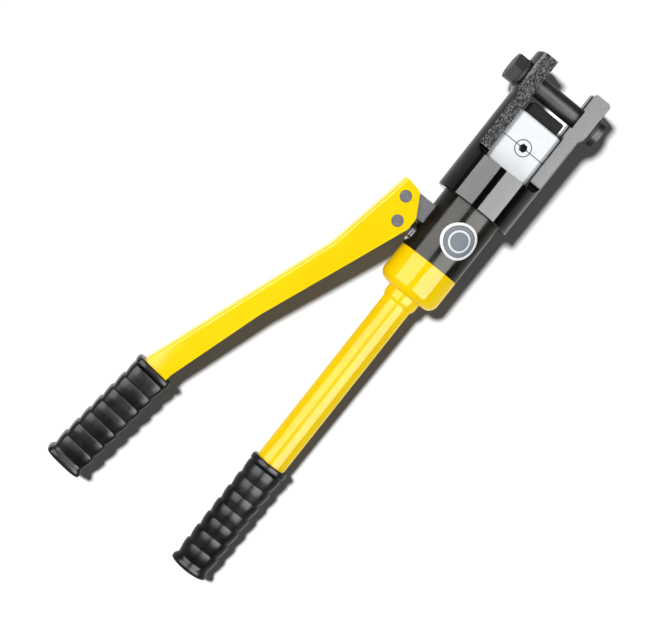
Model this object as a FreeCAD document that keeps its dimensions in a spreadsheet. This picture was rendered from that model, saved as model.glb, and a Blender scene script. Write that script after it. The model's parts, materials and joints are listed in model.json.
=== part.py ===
"""Hydraulic crimping tool with a swivelling fork head, a lever pump and a reservoir handle.

The origin is the centre of the crimp nest, on the tool's long axis. +Y runs along that axis to
the cross pin, -Y to the grips, -X to the pump lever, and +Z is the crimp axis, on the tool's
front side. All sizes are millimetres. Every size below is a cell of the sheet Sizes, and the
pieces are bound to those cells by expressions.
"""
import FreeCAD, Part
import math
import os
import re
import Sketcher

V = FreeCAD.Vector

SIZES = {
    # running clearances between pieces
    "fit": 0.06,
    "slide_gap": 0.3,
    # crimp dies and their hexagon nest
    "die_width": 40.7,
    "die_depth": 26,
    "upper_die_height": 24,
    "lower_die_height": 22.8,
    "die_bevel": 3.5,
    "die_edge": 1.2,
    "nest_flats": 6.4,
    "nest_ring_radius": 6.8,
    "nest_ring_width": 0.7,
    "nest_ring_depth": 0.35,
    "split_gap": 0.02,
    "tongue_width": 7.4,
    "tongue_height": 1.7,
    "spigot_radius": 6,
    "spigot_length": 8,
    "snap_ring_wire": 0.9,
    # fork head
    "head_top": 70,
    "boss_radius": 37.2,
    "boss_end": 36.8,
    "collar_radius": 34,
    "boss_cone_end": 30.8,
    "collar_end": -62.4,
    "head_edge": 2.6,
    "collar_chamfer": 1,
    "flat_height": 14.4,
    "flat_end": -14,
    "runout_radius": 10,
    "pocket_depth": 17.6,
    "head_floor": 4,
    "pocket_step": 1.2,
    "groove_width": 8,
    "groove_depth": 2,
    # cross pin, its nut and washers
    "pin_y": 46.8,
    "pin_radius": 8.6,
    "pin_head_radius": 11.2,
    "pin_head_height": 7.6,
    "pin_crown": 2.2,
    "pin_thread_radius": 7,
    "nut_flats": 22,
    "nut_height": 9.6,
    "washer_radius": 12.4,
    "washer_thickness": 3,
    "seat_face": 35,
    "spot_play": 0.4,
    "nut_chamfer": 1,
    "pin_tip_chamfer": 1,
    # upper die seat
    "seat_height": 10.8,
    "seat_width": 30.6,
    "seat_depth": 18,
    "seat_chamfer": 1,
    # cylinder body and its head joint
    "body_radius": 27,
    "body_end": -117.2,
    "mouth_chamfer": 1.2,
    "ring_wire": 1.2,
    "ring_y": -56,
    "spigot_wall_radius": 22,
    "spigot_drop": 10,
    "o_ring_inset": 3,
    "o_ring_groove": 2.6,
    "o_ring_depth": 1.8,
    "o_ring_play": 0.2,
    # ram and its sealing
    "ram_radius": 19,
    "ram_length": 46,
    "stroke": 17,
    "ram_bore_spare": 3,
    "wiper_inset": 2,
    "wiper_width": 3.6,
    "wiper_radius": 22.4,
    "guide_width": 6,
    "guide_radius": 21.4,
    "ram_edge": 1,
    "seal_rise": 2,
    "seal_width": 4,
    "seal_depth": 3.2,
    "backup_width": 1.8,
    "spring_radius": 6.2,
    "spring_wire": 0.9,
    "spring_turns": 11,
    "spring_bore_radius": 8.2,
    "spring_anchor_radius": 4,
    "hook_pin_radius": 2,
    "hook_drop": 18.2,
    "hook_room": 4,
    "anchor_depth": 5,
    "anchor_rise": 6,
    "anchor_flange": 1.4,
    "anchor_play": 0.6,
    # pump
    "pump_y": -106.4,
    "plunger_radius": 6,
    "plunger_reach": 6.6,
    "delivery_room": 13.6,
    "gland_radius": 8,
    "gland_out": 2.4,
    "gland_edge": 0.6,
    "gland_depth": 11,
    "packing_width": 3,
    "eye_slot_half": 1.8,
    "eye_slot_play": 0.4,
    "eye_wall": 3,
    # valves
    "ball_radius": 2.4,
    "valve_bore_radius": 3,
    "valve_port_radius": 1.75,
    "plug_length": 4,
    "plug_sink": 0.8,
    "delivery_web": 2,
    "intake_web": 3,
    "relief_web": 4,
    "relief_z": 14,
    "intake_x": 5,
    "valve_spring_wire": 0.4,
    "valve_spring_turns": 6,
    # release screw on the rear side
    "release_y": -97.4,
    "release_spot_depth": 1.8,
    "release_head_radius": 7.5,
    "release_head_height": 5.4,
    "release_shank_radius": 4,
    "release_shank_length": 11,
    "release_slot": 1.8,
    "release_notches": 18,
    "release_notch_radius": 0.9,
    # base cap, tube and bag
    "cap_end": -149.2,
    "cap_round": 9,
    "cap_inner_radius": 19,
    "cap_floor": 6.5,
    "neck_radius": 14.9,
    "neck_length": 6.2,
    "neck_taper": 3.2,
    "neck_lip": 0.5,
    "tube_radius": 13,
    "tube_wall": 2,
    "tube_end": -424,
    "tube_plug_length": 12,
    "tube_plug_cap": 2,
    "plug_drive_radius": 4,
    "plug_drive_depth": 5,
    "bag_radius": 9.6,
    "bag_wall": 1.4,
    "bag_end": -392,
    "bag_shoulder": 8,
    "clip_thickness": 0.8,
    "clip_width": 5,
    "clip_inset": 1,
    # fixed grip
    "grip_length": 110.4,
    "grip_overhang": 8.4,
    "grip_crest_radius": 15.9,
    "grip_valley_radius": 14.6,
    "grip_flange_radius": 16.6,
    "grip_flange_width": 6.4,
    "grip_foot_width": 10,
    "grip_foot_slope": 2.4,
    "grip_ribs": 7,
    "grip_bead_rise": 1.8,
    "grip_dome": 3,
    "grip_dome_land": 1,
    "tip_flat": 0.5,
    # pump lever, measured from its pivot: up or down, out to the outer edge, and width
    "pivot_x": -49.6,
    "pivot_y": -87.6,
    "joint_pin_radius": 5,
    "plunger_pin_x": 6.8,
    "plunger_pin_y": -19.2,
    "lever_depth": 24,
    "sheet_thickness": 2.4,
    "lever_top_up": 12.8,
    "lever_top_out": 8.2,
    "lever_top_width": 14,
    "lever_shoulder_up": 9.2,
    "lever_nose_down": 14,
    "lever_nose_out": 17.8,
    "lever_nose_round": 5,
    "lever_waist_down": 64.4,
    "lever_waist_out": 22.6,
    "lever_low_down": 226,
    "lever_low_out": 80.8,
    "lever_width": 22.4,
    "lever_hollow": 3.4,
    "lever_tail": 88,
    "lever_lean": 6.8,
    "lever_corner_out": 1.6,
    "lever_corner_in": 1,
    "lever_corner_drop": 2.4,
    "lever_bend": 3,
    "lever_nose_ease": 2,
    "pin_edge": 0.5,
    "pin_proud": 0.5,
    # lug that carries the lever
    "side_play": 0.4,
    "lug_top": 9.2,
    "lug_bottom": 8,
    "lug_end_radius": 7.4,
    "lug_corner": 5.2,
    "bush_wall": 1.2,
    "lug_reach": 26,
    # lever grip
    "lever_grip_down": 4.4,
    "lever_grip_length": 107.2,
    "lever_grip_crest_x": 15.9,
    "lever_grip_crest_z": 14.8,
    "lever_grip_round": 7.6,
    "lever_grip_bulge": 1.1,
    "lever_grip_flange": 1,
    # badge on the cylinder body
    "badge_radius": 15.2,
    "badge_thickness": 0.5,
    "badge_y": -90,
    "badge_turn": 9,
}

WORDS = re.compile(r"[a-z][a-z0-9_]*")
ALONG = {
    "+X": FreeCAD.Rotation(V(0, 1, 0), 90),
    "-X": FreeCAD.Rotation(V(0, 1, 0), -90),
    "+Y": FreeCAD.Rotation(V(1, 0, 0), -90),
    "-Y": FreeCAD.Rotation(V(1, 0, 0), 90),
    "+Z": FreeCAD.Rotation(),
    "-Z": FreeCAD.Rotation(V(1, 0, 0), 180),
}

doc = FreeCAD.newDocument("crimping_tool")
sheet = doc.addObject("Spreadsheet::Sheet", "Sizes")
for row, (alias, value) in enumerate(SIZES.items(), start=1):
    sheet.set("A%d" % row, alias)
    sheet.set("B%d" % row, str(value))
    sheet.setAlias("B%d" % row, alias)
doc.recompute()

sub_parts = []


# sheet and sketch helpers

def cell(text):
    """An expression of the sheet's aliases, as the document writes it."""
    return WORDS.sub(lambda m: "Sizes." + m.group() if m.group() in SIZES else m.group(), str(text))


def size(text):
    """The value of such an expression now."""
    return float(sheet.evalExpression(cell(text)))


def bind(obj, **cells):
    """Bind properties of an object; a double underscore stands for a dot."""
    for name, text in cells.items():
        obj.setExpression(name.replace("__", "."), cell(text))


def place(obj, at=("0", "0", "0"), rotation=None):
    if rotation is not None:
        obj.Placement = FreeCAD.Placement(V(), rotation)
    for axis, text in zip("xyz", at):
        obj.setExpression("Placement.Base." + axis, cell(text))
    return obj


def keep(obj, label):
    """Give a finished sub-part the label that names its file."""
    obj.Label = label
    sub_parts.append(obj)
    return obj


def plane(body, role):
    return next(f for f in body.Origin.OriginFeatures if f.Role == role)


def fix_point(sketch, item, end, x, y):
    for kind, text in (("DistanceX", x), ("DistanceY", y)):
        index = sketch.addConstraint(Sketcher.Constraint(kind, -1, 1, item, end, size(text)))
        sketch.setExpression("Constraints[%d]" % index, cell(text))


def draw(body, name, role, loops):
    """A sketch on an origin plane of a body, or by itself where body is None. A loop is ("circle", x, y, radius) or a list of corners
    (x, y), where (x, y, radius) starts an arc to the next corner, to the left of the way
    there if the radius is written with a plus sign in front and else to the right."""
    if body is None:
        sketch = doc.addObject("Sketcher::SketchObject", name)
    else:
        sketch = body.newObject("Sketcher::SketchObject", name)
        sketch.AttachmentSupport = [(plane(body, role), "")]
        sketch.MapMode = "FlatFace"
    for loop in loops:
        if loop[0] == "circle":
            x, y, radius = loop[1:]
            item = sketch.addGeometry(Part.Circle(V(size(x), size(y), 0), V(0, 0, 1), size(radius)))
            fix_point(sketch, item, 3, x, y)
            index = sketch.addConstraint(Sketcher.Constraint("Radius", item, size(radius)))
            sketch.setExpression("Constraints[%d]" % index, cell(radius))
            continue
        spots = [V(size(c[0]), size(c[1]), 0) for c in loop]
        first = None
        for i, corner in enumerate(loop):
            a, b = spots[i], spots[(i + 1) % len(loop)]
            start = 1
            end = 2
            if len(corner) == 3:
                left = corner[2].startswith("+")
                radius = corner[2].lstrip("+")
                item = sketch.addGeometry(bulge(a, b, size(radius), left))
                if left:
                    start, end = 2, 1
                index = sketch.addConstraint(Sketcher.Constraint("Radius", item, size(radius)))
                sketch.setExpression("Constraints[%d]" % index, cell(radius))
            else:
                item = sketch.addGeometry(Part.LineSegment(a, b))
            fix_point(sketch, item, start, corner[0], corner[1])
            if first is None:
                first = (item, start)
            else:
                sketch.addConstraint(Sketcher.Constraint("Coincident", last[0], last[1], item, start))
            last = (item, end)
        sketch.addConstraint(Sketcher.Constraint("Coincident", last[0], last[1], first[0], first[1]))
    return sketch


def bulge(a, b, radius, left):
    """The short arc between a and b that bows to the left or right of the way from a to b.
    Arcs run anticlockwise, so one that bows to the left starts at b."""
    half = (b - a) * 0.5
    way = V(half).normalize()
    side = V(-way.y, way.x, 0) * (-1 if left else 1)
    centre = a + half + side * math.sqrt(max(radius * radius - half.Length ** 2, 0))
    first, last = (b, a) if left else (a, b)
    angles = [math.atan2(p.y - centre.y, p.x - centre.x) for p in (first, last)]
    return Part.ArcOfCircle(Part.Circle(centre, V(0, 0, 1), radius), angles[0], angles[1])


def new_body(name):
    return doc.addObject("PartDesign::Body", name)


def turned(name, corners, axis="Y"):
    """A solid of revolution: corners are (radius, height) about Y, or (height, radius) about X."""
    turn = doc.addObject("Part::Revolution", name)
    turn.Source = draw(None, name + "_outline", "XY_Plane", [corners])
    turn.Axis = V(0, 1, 0) if axis == "Y" else V(1, 0, 0)
    turn.Angle = 360
    turn.Solid = True
    return turn


def pad(body, name, role, loops, length):
    """A pad of the given length, half of it on each side of the plane."""
    sketch = draw(body, name + "_outline", role, loops)
    feature = body.newObject("PartDesign::Pad", name)
    feature.Profile = sketch
    feature.SideType = "Symmetric"
    bind(feature, Length=length)
    return feature


def pocket(body, name, role, loops, length):
    """A cut of the given length, half of it on each side of the plane."""
    sketch = draw(body, name + "_outline", role, loops)
    feature = body.newObject("PartDesign::Pocket", name)
    feature.Profile = sketch
    feature.SideType = "Symmetric"
    bind(feature, Length=length)
    return feature


def rectangle(x0, y0, x1, y1):
    return [(x0, y0), (x1, y0), (x1, y1), (x0, y1)]


def edges_where(feature, test):
    doc.recompute()
    return ["Edge%d" % (i + 1) for i, edge in enumerate(feature.Shape.Edges) if test(edge)]


def dress(body, kind, name, base, amount, test):
    """A fillet or chamfer on the edges of the base feature that pass the test."""
    names = edges_where(base, test)
    if not names:
        raise RuntimeError(name + " found no edges")
    feature = body.newObject("PartDesign::" + kind, name)
    feature.Base = (base, names)
    bind(feature, **{"Radius" if kind == "Fillet" else "Size": amount})
    return feature


def rod(name, radius, length, at=("0", "0", "0"), way="+Z"):
    """A plain cylinder that starts at a point and runs along an axis."""
    shape = doc.addObject("Part::Cylinder", name)
    bind(shape, Radius=radius, Height=length)
    return place(shape, at, ALONG[way])


def block(name, x, y, z, at):
    shape = doc.addObject("Part::Box", name)
    bind(shape, Length=x, Width=y, Height=z)
    return place(shape, at)


def fuse(name, shapes):
    joined = doc.addObject("Part::MultiFuse", name)
    joined.Shapes = shapes
    joined.Refine = True
    return joined


def cut(name, base, tools):
    result = doc.addObject("Part::Cut", name)
    result.Base = base
    result.Tool = tools[0] if len(tools) == 1 else fuse(name + "_tools", tools)
    result.Refine = True
    return result


def common(name, base, tool):
    result = doc.addObject("Part::MultiCommon", name)
    result.Shapes = [base, tool]
    result.Refine = True
    return result


def fixed_shape(name, shape, at=("0", "0", "0"), rotation=None):
    """A shape made with its own functions from the sheet's values, placed by the sheet."""
    feature = doc.addObject("Part::Feature", name)
    feature.Shape = shape
    return place(feature, at, rotation or FreeCAD.Rotation())


def ring(name, inner, outer, start, width):
    """A plain ring about the tool's long axis, from a height along +Y."""
    return turned(name, [(inner, start), (outer, start), (outer, "(%s) + (%s)" % (start, width)),
                         (inner, "(%s) + (%s)" % (start, width))])


def ball(name, radius, at):
    shape = doc.addObject("Part::Sphere", name)
    bind(shape, Radius=radius)
    return place(shape, at)


def coil(radius, wire, length, turns):
    """A round wire spring along +Z, its ends inside the given length."""
    rise = length - 2 * wire
    path = Part.makeHelix(rise / turns, rise, radius)
    path.translate(V(0, 0, wire))
    start = Part.Wire([Part.makeCircle(wire, V(radius, 0, wire), V(0, 1, 0))])
    return Part.Wire(path.Edges).makePipeShell([start], True, True)


# places worked out from the sizes

SLOT_HALF = "(die_width / 2 + slide_gap)"
POCKET_HALF = "(die_depth / 2 + slide_gap)"
SLOT_BOTTOM = "(-lower_die_height - pocket_step)"
POCKET_BOTTOM = "(%s - pocket_depth)" % SLOT_BOTTOM
FLOOR_BOTTOM = "(%s - head_floor)" % POCKET_BOTTOM
MOUTH = "(%s - slide_gap)" % FLOOR_BOTTOM
RAM_TOP = "(-lower_die_height)"
RAM_FOOT = "(%s - ram_length)" % RAM_TOP
BORE_END = "(%s - stroke - ram_bore_spare)" % RAM_FOOT
UPPER_TOP = "(upper_die_height + split_gap)"
GLAND_FOOT = "(-body_radius + gland_depth)"
PUMP_BORE_END = "(body_radius - delivery_room)"
RELEASE_FACE = "(body_radius - release_spot_depth)"
CHANNEL_WIDTH = "(lever_depth - 2 * sheet_thickness)"
LUG_WIDTH = "(%s - 2 * side_play)" % CHANNEL_WIDTH
HOOK_Y = "(%s - hook_drop)" % RAM_TOP
PUMP_PIN_X = "(pivot_x + plunger_pin_x)"
PUMP_PIN_Y = "(pivot_y + plunger_pin_y)"
LEVER_GRIP_Y = "(pivot_y - lever_low_down - lever_grip_down)"
LEVER_GRIP_X = "(pivot_x - lever_low_out + lever_width / 2 - lever_grip_down * tan(lever_lean * 1 deg))"


# fork head

def make_head_frame():
    bore = "(body_radius + fit)"
    ring_slot = "(body_radius + ring_wire + slide_gap)"
    body = new_body("head_body")
    sketch = draw(body, "head_outline", "XY_Plane", [[
        ("0", "head_top"),
        ("0", FLOOR_BOTTOM),
        (bore, FLOOR_BOTTOM),
        (bore, "ring_y + ring_wire + slide_gap"),
        (ring_slot, "ring_y + ring_wire + slide_gap"),
        (ring_slot, "ring_y - ring_wire - slide_gap"),
        (bore, "ring_y - ring_wire - slide_gap"),
        (bore, "collar_end"),
        ("collar_radius - collar_chamfer", "collar_end"),
        ("collar_radius", "collar_end + collar_chamfer"),
        ("collar_radius", "boss_cone_end"),
        ("boss_radius", "boss_end"),
        ("boss_radius", "head_top - head_edge", "head_edge"),
        ("boss_radius - head_edge", "head_top"),
    ]])
    turn = body.newObject("PartDesign::Revolution", "head_turn")
    turn.Profile = sketch
    turn.ReferenceAxis = (sketch, ["V_Axis"])
    turn.Angle = 360

    flats = []
    for sign in ("", "-"):
        low = sign + "flat_height"
        mid = sign + "(flat_height + runout_radius)"
        high = sign + "(boss_radius + 5)"
        flats.append([
            ("head_top + 1", low),
            ("flat_end", low, "runout_radius" if sign else "+runout_radius"),
            ("flat_end - runout_radius", mid),
            ("flat_end - runout_radius", high),
            ("head_top + 1", high),
        ])
    pocket(body, "head_flats", "YZ_Plane", flats, "2 * boss_radius + 10")
    pocket(body, "die_slot", "XY_Plane",
           [rectangle("-" + SLOT_HALF, SLOT_BOTTOM, SLOT_HALF, "head_top + 1")],
           "2 * boss_radius + 10")
    pocket(body, "die_pocket", "XY_Plane",
           [rectangle("-" + SLOT_HALF, POCKET_BOTTOM, SLOT_HALF, SLOT_BOTTOM + " + 1")],
           "2 * " + POCKET_HALF)
    pocket(body, "guide_grooves", "XY_Plane",
           [rectangle("-(%s + groove_depth)" % SLOT_HALF, POCKET_BOTTOM,
                      "%s + groove_depth" % SLOT_HALF, "head_top + 1")],
           "groove_width")
    ram_way = rod("ram_way", "ram_radius + fit", "head_floor + pocket_depth + 2",
                  ("0", FLOOR_BOTTOM + " - 1", "0"), "+Y")
    pin_way = rod("pin_way", "pin_radius + fit", "4 * boss_radius",
                  ("-2 * boss_radius", "pin_y", "0"), "+X")
    spot_left = rod("spot_left", "washer_radius + spot_play", "10", ("-seat_face", "pin_y", "0"), "-X")
    spot_right = rod("spot_right", "washer_radius + spot_play", "10", ("seat_face", "pin_y", "0"), "+X")
    keep(cut("head_cut", body, [ram_way, pin_way, spot_left, spot_right]), "head_frame")


def make_cross_pin():
    face = "(seat_face + washer_thickness)"
    tip = "(-%s - nut_height)" % face
    crown = "((pin_head_radius ^ 2 + pin_crown ^ 2) / (2 * pin_crown))"
    body = turned("pin_body", [
        (tip, "0"),
        (tip, "pin_thread_radius - pin_tip_chamfer"),
        (tip + " + pin_tip_chamfer", "pin_thread_radius"),
        ("-" + face, "pin_thread_radius"),
        ("-" + face, "pin_radius"),
        (face, "pin_radius"),
        (face, "pin_head_radius"),
        (face + " + pin_head_height - pin_crown", "pin_head_radius", "+" + crown),
        (face + " + pin_head_height", "tip_flat"),
        (face + " + pin_head_height", "0"),
    ], axis="X")
    keep(place(body, ("0", "pin_y", "0")), "cross_pin")

    nut = doc.addObject("Part::Prism", "nut_prism")
    nut.Polygon = 6
    bind(nut, Circumradius="nut_flats / sqrt(3)", Height="nut_height")
    place(nut, ("-" + face, "pin_y", "0"), ALONG["-X"])
    rim = turned("nut_rim", [
        ("0", "0"),
        ("0", "nut_flats / 2"),
        ("-nut_chamfer", "nut_flats / sqrt(3) + fit"),
        ("-nut_height + nut_chamfer", "nut_flats / sqrt(3) + fit"),
        ("-nut_height", "nut_flats / 2"),
        ("-nut_height", "0"),
    ], axis="X")
    place(rim, ("-" + face, "pin_y", "0"))
    bore = rod("nut_bore", "pin_thread_radius", "nut_height + 2", ("-%s + 1" % face, "pin_y", "0"), "-X")
    keep(cut("nut_cut", common("nut_blank", nut, rim), [bore]), "pin_nut")

    washers = []
    for name, side, way in (("washer_left", "-", "-X"), ("washer_right", "", "+X")):
        washers.append(rod(name, "washer_radius", "washer_thickness",
                           (side + "seat_face", "pin_y", "0"), way))
    hole = rod("washer_hole", "pin_radius + fit", "4 * boss_radius",
               ("-2 * boss_radius", "pin_y", "0"), "+X")
    keep(cut("washer_cut", fuse("washer_pair", washers), [hole]), "pin_washers")


# dies and the upper seat

def make_die(label, height, foot, back):
    """A die half from its foot upward. back is "" where its back face looks along +Y, as on
    the upper half, and "-" where it looks along -Y. Its nest lies in the opposite face."""
    half_x = "(die_width / 2)"
    half_z = "(die_depth / 2)"
    flank = "(die_width / 2 - die_bevel)"
    cheek = "(die_depth / 2 - die_bevel)"
    body = new_body(label + "_body")
    block = pad(body, label + "_block", "XZ_Plane", [[
        ("-" + half_x, "-" + cheek),
        ("-" + flank, "-" + half_z),
        (flank, "-" + half_z),
        (half_x, "-" + cheek),
        (half_x, cheek),
        (flank, half_z),
        ("-" + flank, half_z),
        ("-" + half_x, cheek),
    ]], height)
    back_y = size(back + height) / 2
    dress(body, "Chamfer", label + "_back_edge", block, "die_edge",
          lambda edge: all(abs(v.Y - back_y) < 0.01 for v in edge.Vertexes))
    pad(body, label + "_tongues", "XZ_Plane",
        [rectangle("-%s - tongue_height" % half_x, "-tongue_width / 2",
                   half_x + " + tongue_height", "tongue_width / 2")],
        height + " - 2 * die_edge")
    place(body, ("0", "%s + %s / 2" % (foot, height), "0"))

    back_face = "(%s + %s)" % (foot, height) if back == "" else foot
    way = "-Y" if back else "+Y"
    spigot = rod(label + "_spigot", "spigot_radius - fit", "spigot_length + 1",
                 ("0", "%s %s 1" % (back_face, "+" if back else "-"), "0"), way)
    nest = doc.addObject("Part::Prism", label + "_nest")
    nest.Polygon = 6
    bind(nest, Circumradius="nest_flats / sqrt(3)", Height="die_depth + 2")
    place(nest, ("0", "0", "-%s - 1" % half_z))
    tools = [nest]
    for name, z, side in (("front", half_z, "-Z"), ("rear", "-" + half_z, "+Z")):
        outer = rod(label + "_" + name + "_ring", "nest_ring_radius + nest_ring_width / 2",
                    "nest_ring_depth", ("0", "0", z), side)
        inner = rod(label + "_" + name + "_core", "nest_ring_radius - nest_ring_width / 2",
                    "nest_ring_depth", ("0", "0", z), side)
        tools.append(cut(label + "_" + name + "_groove", outer, [inner]))
    groove = doc.addObject("Part::Torus", label + "_snap_groove")
    bind(groove, Radius1="spigot_radius", Radius2="snap_ring_wire")
    place(groove, ("0", snap_ring_y(back_face, back), "0"), ALONG["+Y"])
    tools.append(groove)
    keep(cut(label + "_cut", fuse(label + "_solid", [body, spigot]), tools), label)
    wire = doc.addObject("Part::Torus", label + "_snap_wire")
    bind(wire, Radius1="spigot_radius", Radius2="snap_ring_wire - fit")
    place(wire, ("0", snap_ring_y(back_face, back), "0"), ALONG["+Y"])
    keep(wire, label + "_ring")


def snap_ring_y(back_face, back):
    """Height of the snap ring on a die's spigot."""
    return "(%s %s spigot_length * 0.6)" % (back_face, "-" if back else "+")


def make_upper_seat():
    body = new_body("seat_body")
    block = pad(body, "seat_block", "XZ_Plane",
                [rectangle("-seat_width / 2", "-seat_depth / 2", "seat_width / 2", "seat_depth / 2")],
                "seat_height")
    half = size("seat_height") / 2
    dress(body, "Chamfer", "seat_edges", block, "seat_chamfer",
          lambda edge: all(abs(v.Y - half) < 0.01 for v in edge.Vertexes))
    place(body, ("0", UPPER_TOP + " + seat_height / 2", "0"))
    socket = rod("seat_socket", "spigot_radius", "seat_height + 2", ("0", UPPER_TOP + " - 1", "0"), "+Y")
    ring_room = rod("seat_ring_room", "spigot_radius + snap_ring_wire", "2 * snap_ring_wire",
                    ("0", snap_ring_y(UPPER_TOP, "") + " - snap_ring_wire", "0"), "+Y")
    keep(cut("seat_cut", body, [socket, ring_room]), "upper_die_seat")


# cylinder body

def make_cylinder_body():
    bore = "(ram_radius + fit)"
    wiper_top = "(%s - wiper_inset)" % MOUTH
    wiper_foot = "(%s - wiper_width)" % wiper_top
    guide_top = "(%s - wiper_inset)" % wiper_foot
    guide_foot = "(%s - guide_width)" % guide_top
    groove = "(body_radius - ring_wire)"
    spigot_foot = "(body_end - spigot_drop)"
    o_ring_top = "(body_end - o_ring_inset)"
    release_tip = "(release_shank_length - %s)" % RELEASE_FACE
    body = turned("cylinder_blank", [
        ("0", BORE_END),
        (bore, BORE_END),
        (bore, guide_foot),
        ("guide_radius", guide_foot),
        ("guide_radius", guide_top),
        (bore, guide_top),
        (bore, wiper_foot),
        ("wiper_radius", wiper_foot),
        ("wiper_radius", wiper_top),
        (bore, wiper_top),
        (bore, MOUTH),
        ("body_radius - mouth_chamfer", MOUTH),
        ("body_radius", MOUTH + " - mouth_chamfer"),
        ("body_radius", "ring_y + ring_wire"),
        (groove, "ring_y + ring_wire"),
        (groove, "ring_y - ring_wire"),
        ("body_radius", "ring_y - ring_wire"),
        ("body_radius", "body_end"),
        ("spigot_wall_radius", "body_end"),
        ("spigot_wall_radius", o_ring_top),
        ("spigot_wall_radius - o_ring_depth", o_ring_top),
        ("spigot_wall_radius - o_ring_depth", o_ring_top + " - o_ring_groove"),
        ("spigot_wall_radius", o_ring_top + " - o_ring_groove"),
        ("spigot_wall_radius", spigot_foot),
        ("0", spigot_foot),
    ])
    tools = [
        rod("gland_way", "gland_radius", "gland_depth + packing_width + 1",
            ("-body_radius - 1", "pump_y", "0"), "+X"),
        rod("pump_way", "plunger_radius + fit", "body_radius + " + PUMP_BORE_END,
            ("-body_radius", "pump_y", "0"), "+X"),
        rod("delivery_port", "valve_port_radius", "2 * delivery_web",
            (PUMP_BORE_END + " - delivery_web / 2", "pump_y", "0"), "+X"),
        rod("delivery_way", "valve_bore_radius", "body_radius",
            (PUMP_BORE_END + " + delivery_web", "pump_y", "0"), "+X"),
        rod("delivery_rise", "valve_port_radius", "%s - pump_y + 1" % BORE_END,
            (PUMP_BORE_END + " + delivery_web + valve_port_radius", "pump_y", "0"), "+Y"),
        rod("intake_port", "valve_port_radius", "2 * plunger_radius", ("intake_x", "pump_y", "0"), "-Y"),
        rod("intake_way", "valve_bore_radius", "2 * body_radius",
            ("intake_x", "pump_y - plunger_radius - intake_web", "0"), "-Y"),
        rod("relief_port", "valve_port_radius", "2 * relief_web", ("0", BORE_END + " + 1", "relief_z"), "-Y"),
        rod("relief_way", "valve_bore_radius", "2 * body_radius",
            ("0", BORE_END + " - relief_web", "relief_z"), "-Y"),
        rod("release_port", "valve_port_radius", "%s - release_y + 1" % BORE_END,
            ("0", "release_y", release_tip + " + ball_radius"), "+Y"),
        rod("release_way", "release_shank_radius + fit", "2 * release_shank_length",
            ("0", "release_y", release_tip), "-Z"),
        rod("release_ball_way", "release_shank_radius - 1", "2 * ball_radius",
            ("0", "release_y", release_tip + " + 2 * ball_radius + fit"), "-Z"),
        rod("release_spot", "release_head_radius + 1", "10", ("0", "release_y", "-" + RELEASE_FACE), "-Z"),
        rod("anchor_way", "spring_anchor_radius", "6", ("0", BORE_END + " + 1", "0"), "-Y"),
    ]
    keep(cut("cylinder_cut", body, tools), "cylinder_body")


def make_seals():
    bore = "(ram_radius + fit)"
    wiper_foot = "(%s - wiper_inset - wiper_width)" % MOUTH
    guide_foot = "(%s - wiper_inset - guide_width)" % wiper_foot
    keep(ring("wiper_ring", bore, "wiper_radius", wiper_foot, "wiper_width"), "ram_wiper")
    keep(ring("guide_ring", bore, "guide_radius", guide_foot, "guide_width"), "ram_guide_ring")
    keep(ring("o_ring", "spigot_wall_radius - o_ring_depth", "spigot_wall_radius + fit",
              "body_end - o_ring_inset - o_ring_groove + o_ring_play",
              "o_ring_groove - 2 * o_ring_play"), "cap_o_ring")
    wire = doc.addObject("Part::Torus", "ring_wire_round")
    bind(wire, Radius1="body_radius", Radius2="ring_wire")
    keep(place(wire, ("0", "ring_y", "0"), ALONG["+Y"]), "head_retaining_ring")
    packing = rod("packing_disc", "gland_radius", "packing_width", (GLAND_FOOT, "pump_y", "0"), "+X")
    hole = rod("packing_hole", "plunger_radius + fit", "packing_width + 2",
               (GLAND_FOOT + " - 1", "pump_y", "0"), "+X")
    keep(cut("packing_cut", packing, [hole]), "plunger_seal")


def make_gland():
    body = turned("gland_body", [
        (GLAND_FOOT, "plunger_radius + fit"),
        (GLAND_FOOT, "gland_radius - gland_edge"),
        (GLAND_FOOT + " - gland_edge", "gland_radius"),
        ("-body_radius - gland_out + gland_edge", "gland_radius"),
        ("-body_radius - gland_out", "gland_radius - gland_edge"),
        ("-body_radius - gland_out", "plunger_radius + fit"),
    ], axis="X")
    keep(place(body, ("0", "pump_y", "0")), "pump_gland")


def valve_spring(label, length, at, way):
    """A small spring between a ball and its plug."""
    shape = coil(size("valve_bore_radius - valve_spring_wire - slide_gap"), size("valve_spring_wire"),
                 size(length), SIZES["valve_spring_turns"])
    keep(fixed_shape(label + "_coil", shape, at, ALONG[way]), label)


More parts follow.
